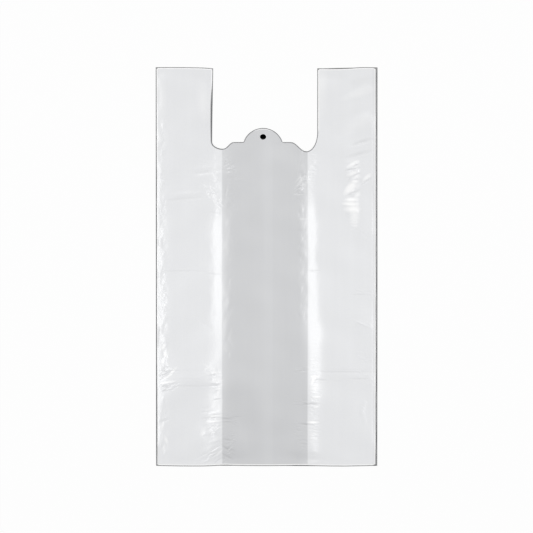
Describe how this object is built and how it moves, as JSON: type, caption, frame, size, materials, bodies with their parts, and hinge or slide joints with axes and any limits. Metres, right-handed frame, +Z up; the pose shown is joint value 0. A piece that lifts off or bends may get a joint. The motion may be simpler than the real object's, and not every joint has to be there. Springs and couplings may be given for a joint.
{
  "type": "plastic carrier bag",
  "caption": "Empty vest-style carrier bag of thin plastic film lying flat, with tucked-in sides, loop handles and a rounded hang tab at its mouth.",
  "frame": {"origin": "on the surface the bag lies on, under the middle of its outline", "axes": "+X across the bag to the right as seen from the front, +Y along the bag towards its handles, +Z up, out of its front"},
  "size_m": [0.25, 0.45, 0.008],
  "materials": {
    "film": "satin whitish half-clear blown film"
  },
  "bodies": {
    "root": {"carrier_bag": "film"}
  },
  "joints": []
}
